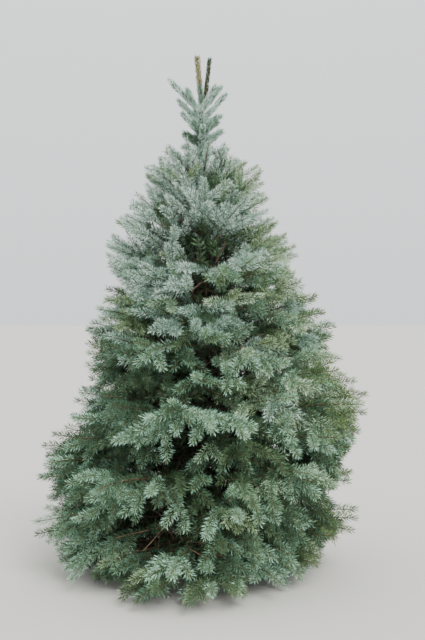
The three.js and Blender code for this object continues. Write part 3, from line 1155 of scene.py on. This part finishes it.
def made_piece(name, points, triangles, looks, numbers=None, smooth=False, nodes=()):
    """A mesh from triangles, each with the number of its material, riding on the one body."""
    mesh = bpy.data.meshes.new(name)
    mesh.vertices.add(len(points))
    mesh.vertices.foreach_set("co", np.ascontiguousarray(points, np.float32).ravel())
    mesh.loops.add(3 * len(triangles))
    mesh.loops.foreach_set("vertex_index", np.ascontiguousarray(triangles, np.int32).ravel())
    mesh.polygons.add(len(triangles))
    mesh.polygons.foreach_set("loop_start", np.arange(0, 3 * len(triangles), 3, dtype=np.int32))
    for look in looks:
        mesh.materials.append(look)
    if numbers is not None:
        mesh.polygons.foreach_set("material_index", np.ascontiguousarray(numbers, np.int32))
    mesh.polygons.foreach_set("use_smooth", np.full(len(triangles), smooth))
    mesh.update(calc_edges=True)
    piece = bpy.data.objects.new(name, mesh)
    bpy.context.scene.collection.objects.link(piece)
    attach(piece, "root")
    if nodes:
        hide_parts(*nodes)
    return piece


def unit(vectors):
    return vectors / np.maximum(np.linalg.norm(vectors, axis=1, keepdims=True), 1e-9)


def frames_of(ways):
    """Two directions square to each way: sideways, and as near up as that leaves."""
    reference = np.where(abs(ways[:, 2:3]) > 0.9, (1.0, 0.0, 0.0), (0.0, 0.0, 1.0))
    side = unit(np.cross(ways, reference))
    return side, np.cross(side, ways)


def needle_arrays(part):
    """Points, triangles and tint numbers of some shoots' needles. A needle is a kite that curves up, its
    base half in a darker tint as painted shade.
    """
    start = each(part, "start")
    span = each(part, "end") - start
    length = np.linalg.norm(span, axis=1)
    way = unit(span)
    side, lift = frames_of(way)
    count = np.maximum((length * each(part, "needles") * NEEDLES_PER_METRE).astype(int), 3)
    age = np.minimum(each(part, "age"), LIVE_YEARS - 1)
    bark_radius = np.maximum(each(part, "tip"), 0.0015)
    tint = np.array([TINT_NAMES.index(s.tint) for s in part])

    which = np.repeat(np.arange(len(part)), count)
    number = np.arange(len(which)) - np.repeat(np.cumsum(count) - count, count)
    along = (number + rng.uniform(0, 1, len(which))) / count[which]
    turn = number * GOLDEN_ANGLE + rng.uniform(0, 6.28, len(part))[which] + rng.normal(0, 0.12, len(which))
    last = np.clip((along - BRUSH_FROM) / BRUSH_SPAN, 0, 1) * (age[which] == 0)
    lean = each(part, "lean")[which] + rng.normal(0, LEAN_VARIES, len(which)) - BRUSH_LEAN * last
    lean = np.radians(lean)
    spoke = np.cos(turn)[:, None] * side[which] + np.sin(turn)[:, None] * lift[which]
    spoke = unit(spoke + np.array([(0, 0, s.upward) for s in part])[which])
    ahead = way[which]
    point_way = unit(np.cos(lean)[:, None] * ahead + np.sin(lean)[:, None] * spoke)
    point_way = unit(point_way + np.array((0, 0, NEEDLE_LIFT)))
    size = NEEDLE_LENGTH * np.array(NEEDLE_LENGTH_BY_AGE)[age[which]] * rng.normal(1, 0.09, len(which))
    size = size * (0.82 + 0.18 * np.sin(np.pi * np.clip(along * 1.15, 0, 1)))
    size = size * np.array([s.size * by_height(NEEDLE_SIZE_BY_HEIGHT, s.start.z) for s in part])[which]
    base = start[which] + ahead * (length[which] * along)[:, None]
    base = base + spoke * (0.7 * bark_radius[which])[:, None]

    along_shoot = unit(np.cross(point_way, np.cross(ahead, point_way)))
    roll = (rng.normal(NEEDLE_ROLL, 0.25, len(which)) * rng.choice((-1, 1), len(which)))[:, None]
    flat = np.cos(roll) * along_shoot + np.sin(roll) * np.cross(point_way, along_shoot)
    bend = np.cross(point_way, flat)
    bend *= np.where((bend * (ahead + np.array((0, 0, 0.6)))).sum(1)[:, None] < 0, -1.0, 1.0)
    half = 0.5 * NEEDLE_WIDTH * np.array(NEEDLE_WIDTH_BY_AGE)[age[which]]
    half = half * rng.uniform(0.85, 1.15, len(which))
    middle = base + point_way * (size * NEEDLE_WIDEST)[:, None]
    left, right = middle - flat * half[:, None], middle + flat * half[:, None]
    tips = base + point_way * size[:, None] + bend * (NEEDLE_CURVE * size)[:, None]

    points = np.stack([base, left, right, tips], 1).reshape(-1, 3)
    points[:, 2] = np.maximum(points[:, 2], LOWEST_NEEDLE)
    first = 4 * np.arange(len(which))
    triangles = np.stack([first, first + 1, first + 2, first + 2, first + 1, first + 3], 1).reshape(-1, 3)
    # Painted shade: a share of needles take their darker tint whole, and each needle's base half takes the
    # darker tint of its outer half
    outer = np.where(rng.random(len(which)) < SHADED_NEEDLES, SHADE_PAINTED_TINT[tint[which]], tint[which])
    return points, triangles, np.stack([SHADE_PAINTED_TINT[outer], outer], 1).ravel()


def needle_pieces(part, name, nodes):
    """Some shoots' needles as pieces under the limit of triangles. The first one replaces the nodes."""
    counts = np.array([2 * (s.end - s.start).length * s.needles * NEEDLES_PER_METRE for s in part])
    groups = (np.cumsum(counts) // MOST_TRIANGLES).astype(int)
    for group in range(groups.max() + 1):
        some = [s for s, g in zip(part, groups) if g == group]
        points, triangles, numbers = needle_arrays(some)
        worn = np.unique(numbers)
        label = name if groups.max() == 0 else f"{name}_{group + 1}"
        made_piece(
            label, points, triangles, [NEEDLE_TINTS[i] for i in worn], np.searchsorted(worn, numbers),
            nodes=nodes if group == 0 else (),
        )


def twig_piece(part):
    """A tapering three-sided twig for each side shoot, closed at both ends."""
    start, end = each(part, "start"), each(part, "end")
    way = unit(end - start)
    side, lift = frames_of(way)
    rings = []
    for middle, radius in ((start, each(part, "root")), (end + way * 0.001, each(part, "tip"))):
        for corner in range(3):
            rings.append(middle + ring_way(corner, 3, side, lift) * radius[:, None])
    points = np.stack(rings, 1).reshape(-1, 3)
    corners = [(0, 2, 1), (3, 4, 5)]
    for corner in range(3):
        after = (corner + 1) % 3
        corners += [(corner, after, after + 3), (corner, after + 3, corner + 3)]
    triangles = repeated(corners, 6, len(part))
    numbers = np.repeat([min(s.age, 2) if s.bark < 0 else s.bark for s in part], len(corners))
    made_piece("twigs", points, triangles, TWIG_TINTS, numbers)


def bud_piece(part):
    """A pointed, scaly bud at the tip of each of this year's shoots."""
    end = each(part, "end")
    way = unit(end - each(part, "start"))
    side, lift = frames_of(way)
    length = rng.uniform(0.006, 0.0085, len(part))[:, None]
    rings = [end - way * 0.001, end + way * length]
    sides = 3
    for corner in range(sides):
        rings.append(end + way * length * 0.4 + ring_way(corner, sides, side, lift) * 0.0024)
    points = np.stack(rings, 1).reshape(-1, 3)
    corners = []
    for corner in range(sides):
        here, after = 2 + corner, 2 + (corner + 1) % sides
        corners += [(0, after, here), (1, here, after)]
    triangles = repeated(corners, 2 + sides, len(part))
    made_piece("buds", points, triangles, [BUD], smooth=True)


def tube(path, radii, sides, rough):
    """Points and triangles of a closed tube along a path, its surface raised by a noise."""
    path = np.array(path)
    way = unit(np.gradient(path, axis=0))
    side, lift = frames_of(way)
    points = []
    for i, middle in enumerate(path):
        for corner in range(sides):
            out = ring_way(corner, sides, side[i], lift[i])
            place = middle + out * radii[i]
            lump = noise.noise(Vector(place * 90)) + 0.5 * noise.noise(Vector(place * 230))
            points.append(place + out * rough * radii[i] * lump)
    points += [path[0], path[-1]]
    return np.array(points), tube_triangles(len(path), sides)


def joined(parts):
    """Several sets of points and triangles as one."""
    offsets = np.cumsum([0] + [len(p) for p, _ in parts[:-1]])
    triangles = [t + offset for (_, t), offset in zip(parts, offsets)]
    return np.concatenate([p for p, _ in parts]), np.concatenate(triangles)


def rounded(nodes, steps=3):
    """A smooth line through some nodes."""
    ends = [nodes[0] * 2 - nodes[1], *nodes, nodes[-1] * 2 - nodes[-2]]
    line = []
    for a, b, c, d in zip(ends, ends[1:], ends[2:], ends[3:]):
        for i in range(steps):
            t = i / steps
            square, cube = 2 * a - 5 * b + 4 * c - d, 3 * b - a - 3 * c + d
            line.append(0.5 * (2 * b + (c - a) * t + square * t**2 + cube * t**3))
    return [*line, nodes[-1]]


def bough_piece():
    """All boughs, each one tapering limb with a collar at the trunk and knots under its side branches."""
    made = []
    for bough, nodes in boughs:
        path = rounded(nodes)
        count = len(path)
        radii = []
        for i, place in enumerate(path):
            share = i / (count - 1)
            radius = BOUGH_TIP + (bough.radius - BOUGH_TIP) * (1 - share) ** BOUGH_TAPER
            clear = around(place)[1] - stem.radius(place.z)
            collar = COLLAR * math.exp(-max(clear, 0) / COLLAR_LENGTH)
            knot = KNOT if i % 3 == 0 else 0.0
            radii.append(radius * (1 + collar + knot))
        made.append(tube(path, radii, 8 if bough.radius > THICK_BOUGH else 6, BOUGH_ROUGH))
    points, triangles = joined(made)
    nodes = [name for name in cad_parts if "_bough_" in name]
    made_piece("boughs", points, triangles, [BOUGH_BARK], smooth=True, nodes=nodes)


def trunk_piece():
    """The trunk with scaly relief, finer near its foot, on the solid trunk's own middle and flare."""
    solid = points_of("trunk")
    tree = surface_of(["trunk"])
    top = float(solid[:, 2].max())
    low, high = np.linspace(0, TRUNK_FINE_TO, 130), np.linspace(TRUNK_FINE_TO, top, 170)
    heights = np.concatenate([low, high[1:]])
    points = []
    for z in heights:
        middle = stem.middle(z)
        rough = TRUNK_ROUGH * min(1, stem.radius(z) / 0.03)
        for corner in range(TRUNK_SIDES):
            out = outward(2 * math.pi * corner / TRUNK_SIDES)
            look = middle.copy()
            look.z = min(max(z, 0.001), top - 0.001)
            place, _, _, _ = tree.ray_cast(look + out * 0.3, -out)
            radius = (place - look).length if place else stem.radius(z)
            place = middle + out * radius
            cell = noise.voronoi(Vector((place.x * 95, place.y * 95, place.z * 48)))[0]
            plate = min(cell[1] - cell[0], PLATE_EDGE) / PLATE_EDGE
            fine = noise.noise(Vector(place * 260))
            points.append(place + out * rough * (plate - 0.6 + 0.35 * fine))
    points += [stem.middle(0), stem.middle(top)]
    triangles = tube_triangles(len(heights), TRUNK_SIDES)
    made_piece("trunk_bark", np.array(points), triangles, [BARK], smooth=True, nodes=["trunk"])


def second_leader_piece():
    leader = Stem("second_leader")
    heights = np.linspace(leader.heights[0], leader.heights[-1], 16)
    path = [np.array(leader.middle(z)) for z in heights]
    points, triangles = tube(path, [leader.radius(z) for z in heights], 8, 0.1)
    made_piece(
        "second_leader_stem", points, triangles, [YOUNG_BARK], smooth=True,
        nodes=["second_leader"],
    )


def make_stage():
    bpy.ops.mesh.primitive_plane_add(size=400, location=(0, 0, 0))
    floor = bpy.context.object
    floor.name = "floor"
    floor.data.materials.append(plain_material("floor_pale", tone(196, 194, 188), 0.95))


def make_light():
    """An overcast dome, brighter overhead than at the horizon, and one broad soft sun."""
    world = bpy.data.worlds.new("studio")
    bpy.context.scene.world = world
    world.use_nodes = True
    tree = world.node_tree
    background = tree.nodes["Background"]
    place = new_node(tree, "TexCoord")
    parts = new_node(tree, "SeparateXYZ")
    ramp = new_ramp(tree, (0.0, (0.8, 0.82, 0.84, 1)), (1.0, (1.0, 1.0, 1.0, 1)))
    gain = new_node(tree, "MapRange", {"To Min": DOME[0], "To Max": DOME[1]})
    link(
        tree, (place, "Generated", parts, "Vector"), (parts, "Z", ramp, "Fac"), (parts, "Z", gain, "Value"),
        (ramp, "Color", background, "Color"), (gain, "Result", background, "Strength"),
    )
    sun = bpy.data.objects.new("sun", bpy.data.lights.new("sun", "SUN"))
    sun.data.energy = SUN
    sun.data.angle = math.radians(SUN_WIDTH)
    sun.rotation_euler = [math.radians(a) for a in SUN_TILT]
    bpy.context.scene.collection.objects.link(sun)


def make_camera():
    camera = bpy.data.objects.new("camera", bpy.data.cameras.new("camera"))
    camera.data.lens = CAMERA_LENS
    camera.data.sensor_width = CAMERA_SENSOR
    camera.location = CAMERA_AT
    camera.rotation_euler = (math.radians(90), 0, 0)
    bpy.context.scene.collection.objects.link(camera)
    bpy.context.scene.camera = camera


make_camera()
make_light()
make_stage()

plant_boughs()
end_crown()
shoots += coated(stem, (*STEM_STEPS, LEADER_COAT_FROM), STEM_TINTS, *STEM_COAT)
side_shoots = [s for s in shoots if s.order > 0]
top = top_whorl()
for tier in range(1, TOP_TIER + 1):
    living = [s for s in shoots + top if s.tier == tier and s.needles > 0]
    nodes = [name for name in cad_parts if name.startswith(f"tier_{tier}_foliage")]
    needle_pieces(living, f"needles_tier_{tier}", nodes)
first_leader, second_leader = leader_shoots()
needle_pieces(first_leader, "needles_leader", ["leader_needles"])
needle_pieces(second_leader, "needles_second_leader", ["second_leader_needles"])
twig_piece(side_shoots + top)
bud_piece([s for s in side_shoots + top[1::2] if s.age == 0])
bough_piece()
trunk_piece()
second_leader_piece()
